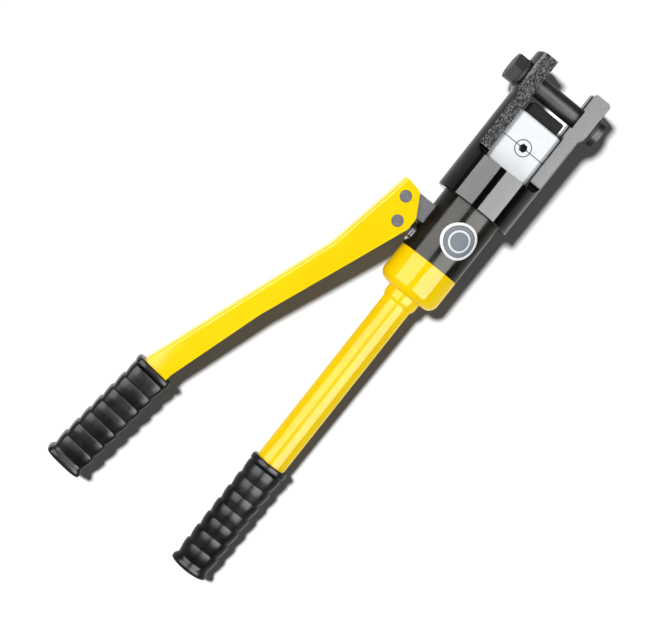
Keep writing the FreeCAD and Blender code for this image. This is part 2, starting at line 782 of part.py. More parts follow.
def make_valves():
    seat = "sqrt(ball_radius ^ 2 - valve_port_radius ^ 2)"

    delivery_ball_x = "(%s + delivery_web + %s)" % (PUMP_BORE_END, seat)
    plug_x = "(body_radius - plug_sink - plug_length)"
    keep(ball("delivery_round", "ball_radius", (delivery_ball_x, "pump_y", "0")), "delivery_ball")
    start = "(%s + ball_radius)" % delivery_ball_x
    valve_spring("delivery_spring", "%s - %s" % (plug_x, start), (start, "pump_y", "0"), "+X")
    keep(rod("delivery_stop", "valve_bore_radius", "plug_length", (plug_x, "pump_y", "0"), "+X"),
         "delivery_plug")

    way_top = "(pump_y - plunger_radius - intake_web)"
    foot = "(body_end - spigot_drop)"
    plug_top = "(%s + plug_length)" % foot
    intake_ball_y = "(%s + %s)" % (plug_top, seat)
    keep(ball("intake_round", "ball_radius", ("intake_x", intake_ball_y, "0")), "intake_ball")
    start = "(%s + ball_radius)" % intake_ball_y
    valve_spring("intake_spring", "%s - %s" % (way_top, start), ("intake_x", start, "0"), "+Y")
    stop = rod("intake_stop", "valve_bore_radius", "plug_length", ("intake_x", foot, "0"), "+Y")
    hole = rod("intake_hole", "valve_port_radius", "plug_length + 2", ("intake_x", foot + " - 1", "0"), "+Y")
    keep(cut("intake_cut", stop, [hole]), "intake_plug")

    relief_top = "(%s - relief_web)" % BORE_END
    relief_ball_y = "(%s - %s)" % (relief_top, seat)
    keep(ball("relief_round", "ball_radius", ("0", relief_ball_y, "relief_z")), "relief_ball")
    start = "(%s - ball_radius)" % relief_ball_y
    valve_spring("relief_spring", "%s - %s" % (start, plug_top), ("0", start, "relief_z"), "-Y")
    stop = rod("relief_stop", "valve_bore_radius", "plug_length", ("0", foot, "relief_z"), "+Y")
    hole = rod("relief_hole", "valve_port_radius", "plug_length + 2", ("0", foot + " - 1", "relief_z"), "+Y")
    keep(cut("relief_cut", stop, [hole]), "relief_screw")

    release_ball_z = "(release_shank_length + ball_radius - %s)" % RELEASE_FACE
    keep(ball("release_round", "ball_radius", ("0", "release_y", release_ball_z)), "release_ball")


def make_release_screw():
    head = rod("release_head", "release_head_radius", "release_head_height",
               ("0", "release_y", "-" + RELEASE_FACE), "-Z")
    shank = rod("release_shank", "release_shank_radius", "release_shank_length - slide_gap",
                ("0", "release_y", "-" + RELEASE_FACE), "+Z")
    slot = block("release_slot", "release_head_radius * 2 + 2", "release_slot", "release_slot",
                 ("-release_head_radius - 1", "release_y - release_slot / 2",
                  "-%s - release_head_height" % RELEASE_FACE))
    solid = cut("release_slotted", head, [slot])
    notches = []
    count = SIZES["release_notches"]
    for i in range(count):
        turn = 2 * math.pi * (i + 0.5) / count
        notch = rod("release_notch_%02d" % i, "release_notch_radius", "release_head_height - 1",
                    ("release_head_radius * %.9f" % math.cos(turn),
                     "release_y + release_head_radius * %.9f" % math.sin(turn),
                     "-%s - 1" % RELEASE_FACE), "-Z")
        notches.append(notch)
    keep(fuse("release_whole", [cut("release_knurled", solid, notches), shank]), "release_screw")


def make_ram():
    seal_foot = "(%s + seal_rise)" % RAM_FOOT
    seal_top = "(%s + seal_width)" % seal_foot
    backup_top = "(%s + backup_width)" % seal_top
    inner = "(ram_radius - seal_depth)"
    spring_top = HOOK_Y + " + hook_room"
    body = turned("ram_blank", [
        ("0", RAM_TOP),
        ("0", spring_top),
        ("spring_bore_radius", spring_top),
        ("spring_bore_radius", RAM_FOOT),
        ("ram_radius - ram_edge", RAM_FOOT),
        ("ram_radius", RAM_FOOT + " + ram_edge"),
        ("ram_radius", seal_foot),
        (inner, seal_foot),
        (inner, backup_top),
        ("ram_radius", backup_top),
        ("ram_radius", RAM_TOP + " - ram_edge"),
        ("ram_radius - ram_edge", RAM_TOP),
    ])
    tools = [
        rod("ram_socket", "spigot_radius", "spigot_length + 1 + slide_gap", ("0", RAM_TOP + " + 1", "0"), "-Y"),
        rod("ram_ring_room", "spigot_radius + snap_ring_wire", "2 * snap_ring_wire",
            ("0", snap_ring_y(RAM_TOP, "-") + " + snap_ring_wire", "0"), "-Y"),
        rod("hook_way", "hook_pin_radius", "4 * ram_radius", ("-2 * ram_radius", HOOK_Y, "0"), "+X"),
    ]
    keep(cut("ram_cut", body, tools), "ram")
    keep(ring("ram_seal_ring", inner, "ram_radius", seal_foot, "seal_width"), "ram_seal")
    keep(ring("backup_ring", inner, "ram_radius", seal_top, "backup_width"), "ram_backup_ring")
    keep(rod("hook_pin", "hook_pin_radius", "2 * (ram_radius - ram_edge)",
             ("-ram_radius + ram_edge", HOOK_Y, "0"), "+X"),
         "spring_hook_pin")


def make_return_spring():
    start = "(%s + anchor_flange)" % BORE_END
    anchor = turned("anchor_body", [
        ("0", BORE_END + " - anchor_depth"),
        ("spring_anchor_radius", BORE_END + " - anchor_depth"),
        ("spring_anchor_radius", BORE_END),
        ("spring_bore_radius - anchor_play", BORE_END),
        ("spring_bore_radius - anchor_play", start),
        ("spring_radius - spring_wire - slide_gap", start),
        ("spring_radius - spring_wire - slide_gap", BORE_END + " + anchor_rise"),
        ("0", BORE_END + " + anchor_rise"),
    ])
    keep(anchor, "spring_anchor")
    length = "%s - hook_pin_radius - %s" % (HOOK_Y, start)
    shape = coil(size("spring_radius"), size("spring_wire"), size(length), SIZES["spring_turns"])
    keep(fixed_shape("return_coil", shape, ("0", start, "0"), ALONG["+Y"]), "return_spring")


# base cap, tube, bag and fixed grip

def make_base_cap():
    keep(turned("cap_blank", [
        ("spigot_wall_radius + fit", "body_end"),
        ("body_radius", "body_end"),
        ("body_radius", "cap_end + cap_round", "+cap_round"),
        ("body_radius - cap_round", "cap_end"),
        ("neck_radius", "cap_end"),
        ("neck_radius", "cap_end - neck_length"),
        ("tube_radius + neck_lip", "cap_end - neck_length - neck_taper"),
        ("tube_radius", "cap_end - neck_length - neck_taper"),
        ("tube_radius", "cap_end + cap_floor"),
        ("cap_inner_radius", "cap_end + cap_floor"),
        ("cap_inner_radius", "body_end - spigot_drop"),
        ("spigot_wall_radius + fit", "body_end - spigot_drop"),
    ]), "base_cap")


def make_tube():
    keep(turned("tube_blank", [
        ("tube_radius - tube_wall", "cap_end + cap_floor"),
        ("tube_radius", "cap_end + cap_floor"),
        ("tube_radius", "tube_end"),
        ("tube_radius - tube_wall", "tube_end"),
    ]), "reservoir_tube")
    keep(turned("tube_stop", [
        ("0", "tube_end + tube_plug_length"),
        ("tube_radius - tube_wall", "tube_end + tube_plug_length"),
        ("tube_radius - tube_wall", "tube_end"),
        ("tube_radius", "tube_end"),
        ("tube_radius", "tube_end - tube_plug_cap"),
        ("plug_drive_radius", "tube_end - tube_plug_cap"),
        ("plug_drive_radius", "tube_end - tube_plug_cap + plug_drive_depth"),
        ("0", "tube_end - tube_plug_cap + plug_drive_depth"),
    ]), "tube_plug")


def make_bag():
    mouth = "(body_end - spigot_drop)"
    shoulder = "(%s - bag_shoulder)" % mouth
    outer = "(cap_inner_radius - slide_gap)"
    keep(turned("bag_blank", [
        (outer + " - bag_wall", mouth),
        (outer, mouth),
        (outer, shoulder),
        ("bag_radius", "cap_end + cap_floor + bag_wall"),
        ("bag_radius", "bag_end + bag_radius", "+bag_radius"),
        ("tip_flat", "bag_end"),
        ("0", "bag_end"),
        ("0", "bag_end + bag_wall"),
        ("tip_flat", "bag_end + bag_wall", "bag_radius - bag_wall"),
        ("bag_radius - bag_wall", "bag_end + bag_radius"),
        ("bag_radius - bag_wall", "cap_end + cap_floor + bag_wall"),
        (outer + " - bag_wall", shoulder),
    ]), "oil_bladder")
    keep(ring("clip_ring", outer + " - bag_wall - clip_thickness", outer + " - bag_wall",
              mouth + " - clip_inset - clip_width", "clip_width"), "bladder_clip")


def arc_radius(half, rise):
    return "((%s) ^ 2 + (%s) ^ 2) / (2 * (%s))" % (half, rise, rise)


def make_fixed_grip():
    bore = "(tube_radius + fit)"
    ribs = SIZES["grip_ribs"]
    end = "(tube_end - grip_overhang)"
    start = "(%s + grip_length)" % end
    pitch = "((grip_length - grip_flange_width - grip_foot_width) / grip_ribs)"
    bead = "(grip_flange_radius - grip_bead_rise)"
    first = "(%s - grip_flange_width)" % start
    foot = "(%s + grip_foot_width)" % end
    corners = [
        (bore, start),
        (bead, start, "+" + arc_radius("grip_flange_width / 2", "grip_bead_rise")),
        (bead, first),
    ]
    for i in range(ribs):
        corners.append(("grip_valley_radius", "%s - %d * %s" % (first, i, pitch),
                        "+" + arc_radius(pitch + " / 2", "grip_crest_radius - grip_valley_radius")))
    corners += [
        ("grip_valley_radius", foot),
        ("grip_flange_radius", foot + " - grip_foot_slope"),
        ("grip_flange_radius", end + " + grip_dome + grip_dome_land",
         "+" + arc_radius("grip_flange_radius", "grip_dome + grip_dome_land")),
        ("tip_flat", end),
        ("0", end),
        ("0", "tube_end - tube_plug_cap - slide_gap"),
        (bore, "tube_end - tube_plug_cap - slide_gap"),
    ]
    keep(turned("grip_blank", corners), "fixed_grip")


# lug, lever and plunger

def make_lug():
    body = new_body("lug_body")
    pad(body, "lug_eye", "XY_Plane", [[
        ("lug_reach", "-lug_bottom"),
        ("lug_reach", "lug_top"),
        ("0", "lug_top"),
        ("-lug_corner", "lug_corner"),
        ("-lug_end_radius", "0"),
        ("-lug_corner", "-lug_corner"),
        ("0", "-lug_bottom"),
    ]], LUG_WIDTH)
    place(body, ("pivot_x", "pivot_y", "0"))
    tools = [
        rod("lug_bore", "joint_pin_radius + fit + bush_wall", "2 * lever_depth",
            ("pivot_x", "pivot_y", "-lever_depth"), "+Z"),
        rod("lug_saddle", "body_radius", "2 * lug_reach", ("0", "pivot_y - lug_reach", "0"), "+Y"),
    ]
    keep(cut("lug_cut", body, tools), "pivot_lug")
    sleeve = rod("bush_sleeve", "joint_pin_radius + fit + bush_wall", LUG_WIDTH,
                 ("pivot_x", "pivot_y", "-%s / 2" % LUG_WIDTH), "+Z")
    hole = rod("bush_hole", "joint_pin_radius + fit", "2 * lever_depth",
               ("pivot_x", "pivot_y", "-lever_depth"), "+Z")
    keep(cut("bush_cut", sleeve, [hole]), "pivot_bush")


def make_lever():
    lean = "tan(lever_lean * 1 deg)"
    tail_y = "(-lever_low_down - lever_tail)"
    tail_x = "(-lever_low_out - lever_tail * %s)" % lean
    body = new_body("lever_body")
    outline = pad(body, "lever_outline_pad", "XY_Plane", [[
        ("-lever_top_out", "lever_top_up"),
        ("-lever_waist_out", "-lever_waist_down"),
        ("-lever_low_out", "-lever_low_down"),
        (tail_x, tail_y),
        (tail_x + " + lever_width", tail_y),
        ("-lever_low_out + lever_width", "-lever_low_down"),
        ("-(lever_low_out + lever_waist_out) / 2 + lever_width - lever_hollow",
         "-(lever_low_down + lever_waist_down) / 2"),
        ("-lever_waist_out + lever_width", "-lever_waist_down"),
        ("lever_nose_out", "-lever_nose_down - lever_nose_round"),
        ("lever_nose_out", "-lever_nose_down + lever_nose_round"),
        ("-lever_top_out + lever_top_width + lever_corner_out", "lever_shoulder_up"),
        ("-lever_top_out + lever_top_width - lever_corner_in", "lever_top_up - lever_corner_drop"),
    ]], "lever_depth")
    back = [(size("-lever_top_out"), size("lever_top_up")),
            (size("-lever_waist_out"), size("-lever_waist_down")),
            (size("-lever_low_out"), size("-lever_low_down")),
            (size(tail_x), size(tail_y))]
    bends = dress(body, "Fillet", "lever_bends", outline, "lever_bend",
                  lambda edge: all(any(math.hypot(v.X - x, v.Y - y) < 0.01 for x, y in back)
                                   for v in edge.Vertexes)
                  and abs(edge.Vertexes[0].Z - edge.Vertexes[-1].Z) < 0.01)
    nose_low = size("-lever_nose_down - 2 * lever_nose_round")
    dress(body, "Fillet", "lever_nose_edges", bends, "lever_nose_ease",
          lambda edge: all(v.Y > nose_low and v.X > 0 for v in edge.Vertexes)
          and abs(edge.Vertexes[0].Z - edge.Vertexes[-1].Z) > 1)
    pocket(body, "lever_channel", "XY_Plane", [[
        ("-lever_top_out + sheet_thickness", "lever_top_up + 30"),
        ("-lever_top_out + sheet_thickness", "lever_top_up"),
        ("-lever_waist_out + sheet_thickness * 1.04", "-lever_waist_down"),
        ("-lever_low_out + sheet_thickness * 1.03", "-lever_low_down"),
        (tail_x + " + sheet_thickness", tail_y),
        (tail_x + " + sheet_thickness", tail_y + " - 30"),
        ("lever_nose_out + 40", tail_y + " - 30"),
        ("lever_nose_out + 40", "lever_top_up + 30"),
    ]], CHANNEL_WIDTH)
    place(body, ("pivot_x", "pivot_y", "0"))
    holes = [
        rod("lever_pivot_hole", "joint_pin_radius", "2 * lever_depth",
            ("pivot_x", "pivot_y", "-lever_depth"), "+Z"),
        rod("lever_pump_hole", "joint_pin_radius", "2 * lever_depth",
            (PUMP_PIN_X, PUMP_PIN_Y, "-lever_depth"), "+Z"),
    ]
    keep(cut("lever_cut", body, holes), "pump_handle")
    for label, x, y in (("pivot_pin", "pivot_x", "pivot_y"), ("plunger_pin", PUMP_PIN_X, PUMP_PIN_Y)):
        length = "lever_depth + 2 * pin_proud"
        shaft = rod(label + "_shaft", "joint_pin_radius", length,
                    (x, y, "-lever_depth / 2 - pin_proud"), "+Z")
        ends = doc.addObject("Part::Chamfer", label + "_ends")
        ends.Base = shaft
        doc.recompute()
        ends.Edges = [(i + 1, SIZES["pin_edge"], SIZES["pin_edge"]) for i, e in enumerate(shaft.Shape.Edges)
                      if isinstance(e.Curve, Part.Circle)]
        keep(ends, label)


def rounded_section(half_x, half_z, corner, y):
    """A rounded rectangle in a plane square to Y, as one wire."""
    return_edges = []
    spots = [(1, 1), (-1, 1), (-1, -1), (1, -1)]
    points = []
    for sx, sz in spots:
        start = 0 if sx * sz > 0 else 1
        a = V(sx * half_x, y, sz * (half_z - corner))
        b = V(sx * (half_x - corner), y, sz * half_z)
        middle = V(sx * (half_x - corner * (1 - math.sqrt(0.5))), y, sz * (half_z - corner * (1 - math.sqrt(0.5))))
        points.append((a, middle, b) if start == 0 else (b, middle, a))
    for i, (a, middle, b) in enumerate(points):
        return_edges.append(Part.Arc(a, middle, b).toShape())
        return_edges.append(Part.LineSegment(b, points[(i + 1) % 4][0]).toShape())
    return Part.Wire(return_edges)


def make_lever_grip():
    """The lever's grip: ribbed sections along -Y from its mouth, then leant over."""
    length = size("lever_grip_length")
    flange = size("grip_flange_width")
    foot = size("grip_foot_width")
    swell = size("lever_grip_flange")
    rise = size("lever_grip_bulge")
    ribs = SIZES["grip_ribs"]
    pitch = (length - flange - foot) / ribs
    stations = [(0, -0.4), (0.2 * flange, swell), (0.75 * flange, swell), (flange, -rise)]
    for i in range(ribs):
        start = flange + i * pitch
        stations += [
            (start + 0.14 * pitch, -0.25 * rise),
            (start + 0.4 * pitch, 0),
            (start + 0.75 * pitch, -0.3 * rise),
            (start + pitch, -rise),
        ]
    stations += [
        (length - 0.72 * foot, swell),
        (length - 0.35 * foot, swell),
        (length - 0.1 * foot, -1.6),
        (length, -6),
    ]
    wires = []
    for along, grow in stations:
        wires.append(rounded_section(size("lever_grip_crest_x") + grow, size("lever_grip_crest_z") + grow,
                                     size("lever_grip_round"), -along))
    lean = FreeCAD.Rotation(V(0, 0, 1), -size("lever_lean"))
    blank = fixed_shape("lever_grip_blank", Part.makeLoft(wires, True, True),
                        (LEVER_GRIP_X, LEVER_GRIP_Y, "0"), lean)
    tail = new_body("lever_grip_hollow")
    slope = "tan(lever_lean * 1 deg)"
    deep = "(lever_tail + fit)"
    pad(tail, "lever_grip_bore", "XY_Plane", [[
        ("-lever_low_out - fit", "-lever_low_down"),
        ("-lever_low_out - fit - %s * %s" % (deep, slope), "-lever_low_down - " + deep),
        ("-lever_low_out + lever_width + fit - %s * %s" % (deep, slope), "-lever_low_down - " + deep),
        ("-lever_low_out + lever_width + fit", "-lever_low_down"),
    ]], "lever_depth + 2 * fit")
    place(tail, ("pivot_x", "pivot_y", "0"))
    keep(cut("lever_grip_cut", blank, [tail]), "handle_grip")


def make_plunger():
    wall_half = "(joint_pin_radius + eye_slot_play + eye_wall)"
    parts = []
    for name, y in (("upper", "pump_y + eye_slot_half"), ("lower", "pump_y - eye_slot_half")):
        parts.append(rod("eye_" + name, wall_half, LUG_WIDTH,
                         (PUMP_PIN_X, y, "-%s / 2" % LUG_WIDTH), "+Z"))
    parts.append(block("eye_middle", "2 * " + wall_half, "2 * eye_slot_half", LUG_WIDTH,
                       ("%s - %s" % (PUMP_PIN_X, wall_half), "pump_y - eye_slot_half",
                        "-%s / 2" % LUG_WIDTH)))
    parts.append(rod("plunger_rod", "plunger_radius",
                     "plunger_reach - %s - %s + eye_wall / 2" % (PUMP_PIN_X, wall_half),
                     ("%s + %s - eye_wall / 2" % (PUMP_PIN_X, wall_half), "pump_y", "0"), "+X"))
    slot_half = "(joint_pin_radius + eye_slot_play)"
    holes = []
    for name, y in (("top", "pump_y + eye_slot_half"), ("foot", "pump_y - eye_slot_half")):
        holes.append(rod("eye_slot_" + name, slot_half, "2 * lever_depth",
                         (PUMP_PIN_X, y, "-lever_depth"), "+Z"))
    holes.append(block("eye_slot_middle", "2 * " + slot_half, "2 * eye_slot_half", "2 * lever_depth",
                       ("%s - %s" % (PUMP_PIN_X, slot_half), "pump_y - eye_slot_half", "-lever_depth")))
    keep(cut("plunger_cut", fuse("plunger_solid", parts), holes), "pump_plunger")


def make_badge():
    turn = FreeCAD.Rotation(V(0, 1, 0), size("badge_turn"))
    band = ring("badge_band", "body_radius", "body_radius + badge_thickness",
                "badge_y - badge_radius - 2", "2 * badge_radius + 4")
    disc = doc.addObject("Part::Cylinder", "badge_disc")
    bind(disc, Radius="badge_radius", Height="2 * body_radius")
    place(disc, ("0", "badge_y", "0"), turn)
    keep(common("badge_common", band, disc), "badge")


make_head_frame()
make_cross_pin()
make_die("upper_die", "upper_die_height", "split_gap", "")
make_upper_seat()
make_die("lower_die", "lower_die_height", "(-lower_die_height)", "-")
make_cylinder_body()
make_seals()
make_gland()
make_valves()
make_release_screw()
make_ram()
make_return_spring()
make_base_cap()
make_tube()
make_bag()
make_fixed_grip()
make_lug()
make_lever()
make_lever_grip()
make_plunger()
make_badge()
doc.recompute()

for obj in doc.Objects:
    if "Invalid" in obj.State or "Error" in obj.State:
        raise RuntimeError("%s is %s" % (obj.Name, obj.State))
for obj in sub_parts:
    if obj.Shape.isNull() or not obj.Shape.isValid():
        raise RuntimeError(obj.Label + " has no valid shape")

os.makedirs("parts", exist_ok=True)
for obj in sub_parts:
    obj.Shape.exportStep("parts/%s.step" % obj.Label)
print("%d sub-parts written" % len(sub_parts))
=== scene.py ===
import json
import math
import bpy
import bmesh
from mathutils import Matrix, Vector


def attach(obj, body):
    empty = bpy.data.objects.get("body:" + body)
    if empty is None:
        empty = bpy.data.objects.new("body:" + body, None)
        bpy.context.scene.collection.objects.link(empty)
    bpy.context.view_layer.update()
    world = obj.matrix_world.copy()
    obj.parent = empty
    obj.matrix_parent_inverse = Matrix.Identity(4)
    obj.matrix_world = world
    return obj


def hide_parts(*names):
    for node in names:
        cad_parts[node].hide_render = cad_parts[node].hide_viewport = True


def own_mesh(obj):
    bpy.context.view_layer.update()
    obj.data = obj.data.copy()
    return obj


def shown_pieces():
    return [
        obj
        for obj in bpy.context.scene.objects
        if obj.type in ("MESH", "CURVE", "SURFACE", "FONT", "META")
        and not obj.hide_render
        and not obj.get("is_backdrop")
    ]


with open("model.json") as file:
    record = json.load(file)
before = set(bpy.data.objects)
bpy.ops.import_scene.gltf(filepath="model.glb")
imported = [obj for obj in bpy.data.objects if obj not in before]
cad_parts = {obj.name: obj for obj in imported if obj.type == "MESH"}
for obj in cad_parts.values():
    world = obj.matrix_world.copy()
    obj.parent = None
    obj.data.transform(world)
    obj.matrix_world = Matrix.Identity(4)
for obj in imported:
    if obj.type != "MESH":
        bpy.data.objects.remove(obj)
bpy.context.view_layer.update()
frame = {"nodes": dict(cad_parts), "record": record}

MM = 0.001

# painted shade that the die finish darkens into its ring groove, along its split line and on its nest
# walls, in mm
DIE_PAINTED_SHADE = {"ring_radius": 6.8, "line_half": 0.25, "ring_fade": 0.55, "split_fade": 0.5,
             "nest_inside": 5.5, "nest_edge": 6.0, "tone": (0.05, 0.075, 0.085, 1.0)}
ARM_FACE = {"below": -24.0, "above": -21.0, "middle": 1.0, "draft": -0.13}
BADGE = {"radius": 15.2, "y": -90.0, "turn": 9.0, "out": 27.5, "grey": (0.225, 0.26, 0.30),
         "white": (0.86, 0.86, 0.86), "rim": (0.9, 0.9, 0.9), "edge": (0.09, 0.10, 0.11)}


# shader helpers

def new_material(name):
    material = bpy.data.materials.new(name)
    material.use_nodes = True
    material.node_tree.nodes.clear()
    return material, material.node_tree


def add_node(tree, kind, **values):
    node = tree.nodes.new(kind)
    for key, value in values.items():
        setattr(node, key, value)
    return node


def principled(tree, **values):
    shader = add_node(tree, "ShaderNodeBsdfPrincipled")
    for key, value in values.items():
        shader.inputs[key.replace("_", " ")].default_value = value
    output = add_node(tree, "ShaderNodeOutputMaterial")
    tree.links.new(shader.outputs["BSDF"], output.inputs["Surface"])
    return shader


def object_noise(tree, scale, detail=4.0, stretch=(1.0, 1.0, 1.0), roughness=0.5):
    coordinates = add_node(tree, "ShaderNodeTexCoord")
    mapping = add_node(tree, "ShaderNodeMapping")
    mapping.inputs["Scale"].default_value = stretch
    tree.links.new(coordinates.outputs["Object"], mapping.inputs["Vector"])
    noise = add_node(tree, "ShaderNodeTexNoise")
    noise.inputs["Scale"].default_value = scale
    noise.inputs["Detail"].default_value = detail
    noise.inputs["Roughness"].default_value = roughness
    tree.links.new(mapping.outputs["Vector"], noise.inputs["Vector"])
    return noise.outputs["Fac"]


def spread(tree, value, low, high, start=0.35, end=0.65):
    ranger = add_node(tree, "ShaderNodeMapRange")
    ranger.inputs["From Min"].default_value = start
    ranger.inputs["From Max"].default_value = end
    ranger.inputs["To Min"].default_value = low
    ranger.inputs["To Max"].default_value = high
    tree.links.new(value, ranger.inputs["Value"])
    return ranger.outputs["Result"]


def two_tones(tree, value, first, second, start=0.35, end=0.65):
    ramp = add_node(tree, "ShaderNodeValToRGB")
    ramp.color_ramp.elements[0].position = start
    ramp.color_ramp.elements[1].position = end
    ramp.color_ramp.elements[0].color = (*first, 1.0)
    ramp.color_ramp.elements[1].color = (*second, 1.0)
    tree.links.new(value, ramp.inputs["Fac"])
    return ramp.outputs["Color"]


def bumped(tree, shader, height, strength, distance, below=None):
    bump = add_node(tree, "ShaderNodeBump")
    bump.inputs["Strength"].default_value = strength
    bump.inputs["Distance"].default_value = distance
    tree.links.new(height, bump.inputs["Height"])
    if below is not None:
        tree.links.new(below, bump.inputs["Normal"])
    tree.links.new(bump.outputs["Normal"], shader.inputs["Normal"])
    return bump.outputs["Normal"]


def maths(tree, operation, first, second):
    node = add_node(tree, "ShaderNodeMath", operation=operation)
    for socket, value in zip(node.inputs, (first, second)):
        if isinstance(value, float):
            socket.default_value = value
        else:
            tree.links.new(value, socket)
    return node.outputs["Value"]


def blended(tree, share, first, second, kind="FLOAT"):
    node = add_node(tree, "ShaderNodeMix", data_type=kind)
    names = {"FLOAT": (0, 2, 3, 0), "RGBA": (0, 6, 7, 2)}[kind]
    for index, value in zip(names[:3], (share, first, second)):
        if isinstance(value, (float, tuple)):
            node.inputs[index].default_value = value
        else:
            tree.links.new(value, node.inputs[index])
    return node.outputs[names[3]]


# finishes

def yellow_paint(name, first, second):
    material, tree = new_material(name)
    shader = principled(tree, IOR=1.17)
    patches = object_noise(tree, 14.0, 3.0)
    tree.links.new(two_tones(tree, patches, first, second),
                   shader.inputs["Base Color"])
    tree.links.new(spread(tree, object_noise(tree, 60.0, 1.0), 0.045, 0.06), shader.inputs["Roughness"])
    bumped(tree, shader, object_noise(tree, 260.0, 1.0), 0.03, 0.0001)
    return material


def forged_black():
    material, tree = new_material("forged_black")
    shader = principled(tree, IOR=1.25)
    coordinates = add_node(tree, "ShaderNodeTexCoord")
    facing = add_node(tree, "ShaderNodeSeparateXYZ")
    tree.links.new(coordinates.outputs["Normal"], facing.inputs["Vector"])
    place = add_node(tree, "ShaderNodeSeparateXYZ")
    tree.links.new(coordinates.outputs["Object"], place.inputs["Vector"])
    front = spread(tree, maths(tree, "ABSOLUTE", facing.outputs["Z"], 0.0), 0.0, 1.0, 0.93, 0.99)
    on_arms = spread(tree, place.outputs["Y"], 0.0, 1.0, ARM_FACE["below"] * MM, ARM_FACE["above"] * MM)
    arm_face = maths(tree, "MULTIPLY", front, on_arms)
    middle = ARM_FACE["middle"] * MM
    left = spread(tree, place.outputs["X"], 1.0, 0.0, -middle, middle)
    raw_face = maths(tree, "MULTIPLY", arm_face, left)
    scale = object_noise(tree, 430.0, 2.5, (1.0, 0.7, 1.0), 0.55)
    left_shade_specks = two_tones(tree, scale, (0.002, 0.002, 0.003), (0.040, 0.045, 0.055), 0.48, 0.70)
    grain = object_noise(tree, 900.0, 2.0)
    plain = two_tones(tree, object_noise(tree, 40.0), (0.001, 0.001, 0.001), (0.003, 0.003, 0.003))
    ground = two_tones(tree, grain, (0.012, 0.012, 0.014), (0.04, 0.04, 0.044), 0.3, 0.7)
    # painted shade: the left arm's faces take the darker speck tones and the right arm's the lighter ground
    # tone; the speck pattern follows the forge scale
    arm_faces_left_shaded = blended(tree, left, ground, left_shade_specks, "RGBA")
    tree.links.new(blended(tree, arm_face, plain, arm_faces_left_shaded, "RGBA"), shader.inputs["Base Color"])
    raw_gloss = blended(tree, left, 0.36, 0.13)
    smooth_gloss = spread(tree, object_noise(tree, 120.0), 0.05, 0.09)
    tree.links.new(blended(tree, arm_face, smooth_gloss, raw_gloss), shader.inputs["Roughness"])
    draft = add_node(tree, "ShaderNodeCombineXYZ")
    tree.links.new(maths(tree, "MULTIPLY", raw_face, ARM_FACE["draft"]), draft.inputs["X"])
    drafted = add_node(tree, "ShaderNodeVectorMath", operation="ADD")
    tree.links.new(coordinates.outputs["Normal"], drafted.inputs[0])
    tree.links.new(draft.outputs["Vector"], drafted.inputs[1])
    outward = add_node(tree, "ShaderNodeVectorTransform", vector_type="NORMAL", convert_from="OBJECT",
                       convert_to="WORLD")
    tree.links.new(drafted.outputs["Vector"], outward.inputs["Vector"])
    relief = maths(tree, "MULTIPLY", scale, raw_face)
    fine = bumped(tree, shader, grain, 0.08, 0.0001, outward.outputs["Vector"])
    bumped(tree, shader, relief, 1.0, 0.0005, fine)
    return material


def satin_black():
    material, tree = new_material("black_oxide")
    shader = principled(tree, IOR=1.18)
    clouds = object_noise(tree, 55.0, 5.0)
    tree.links.new(two_tones(tree, clouds, (0.005, 0.004, 0.002), (0.014, 0.012, 0.008)),
                   shader.inputs["Base Color"])
    tree.links.new(spread(tree, clouds, 0.14, 0.22), shader.inputs["Roughness"])
    turning = object_noise(tree, 900.0, 2.0, (0.03, 1.0, 0.03))
    bumped(tree, shader, turning, 0.2, 0.00005)
    return material


def ground_steel(name, dark, light, low, high, metal=1.0):
    material, tree = new_material(name)
    shader = principled(tree, Metallic=metal)
    grain = object_noise(tree, 620.0, 4.0, (1.0, 0.6, 1.0))
    tree.links.new(two_tones(tree, grain, dark, light, 0.3, 0.7), shader.inputs["Base Color"])
    tree.links.new(spread(tree, object_noise(tree, 90.0), low, high), shader.inputs["Roughness"])
    bumped(tree, shader, grain, 0.2, 0.00006)
    return material


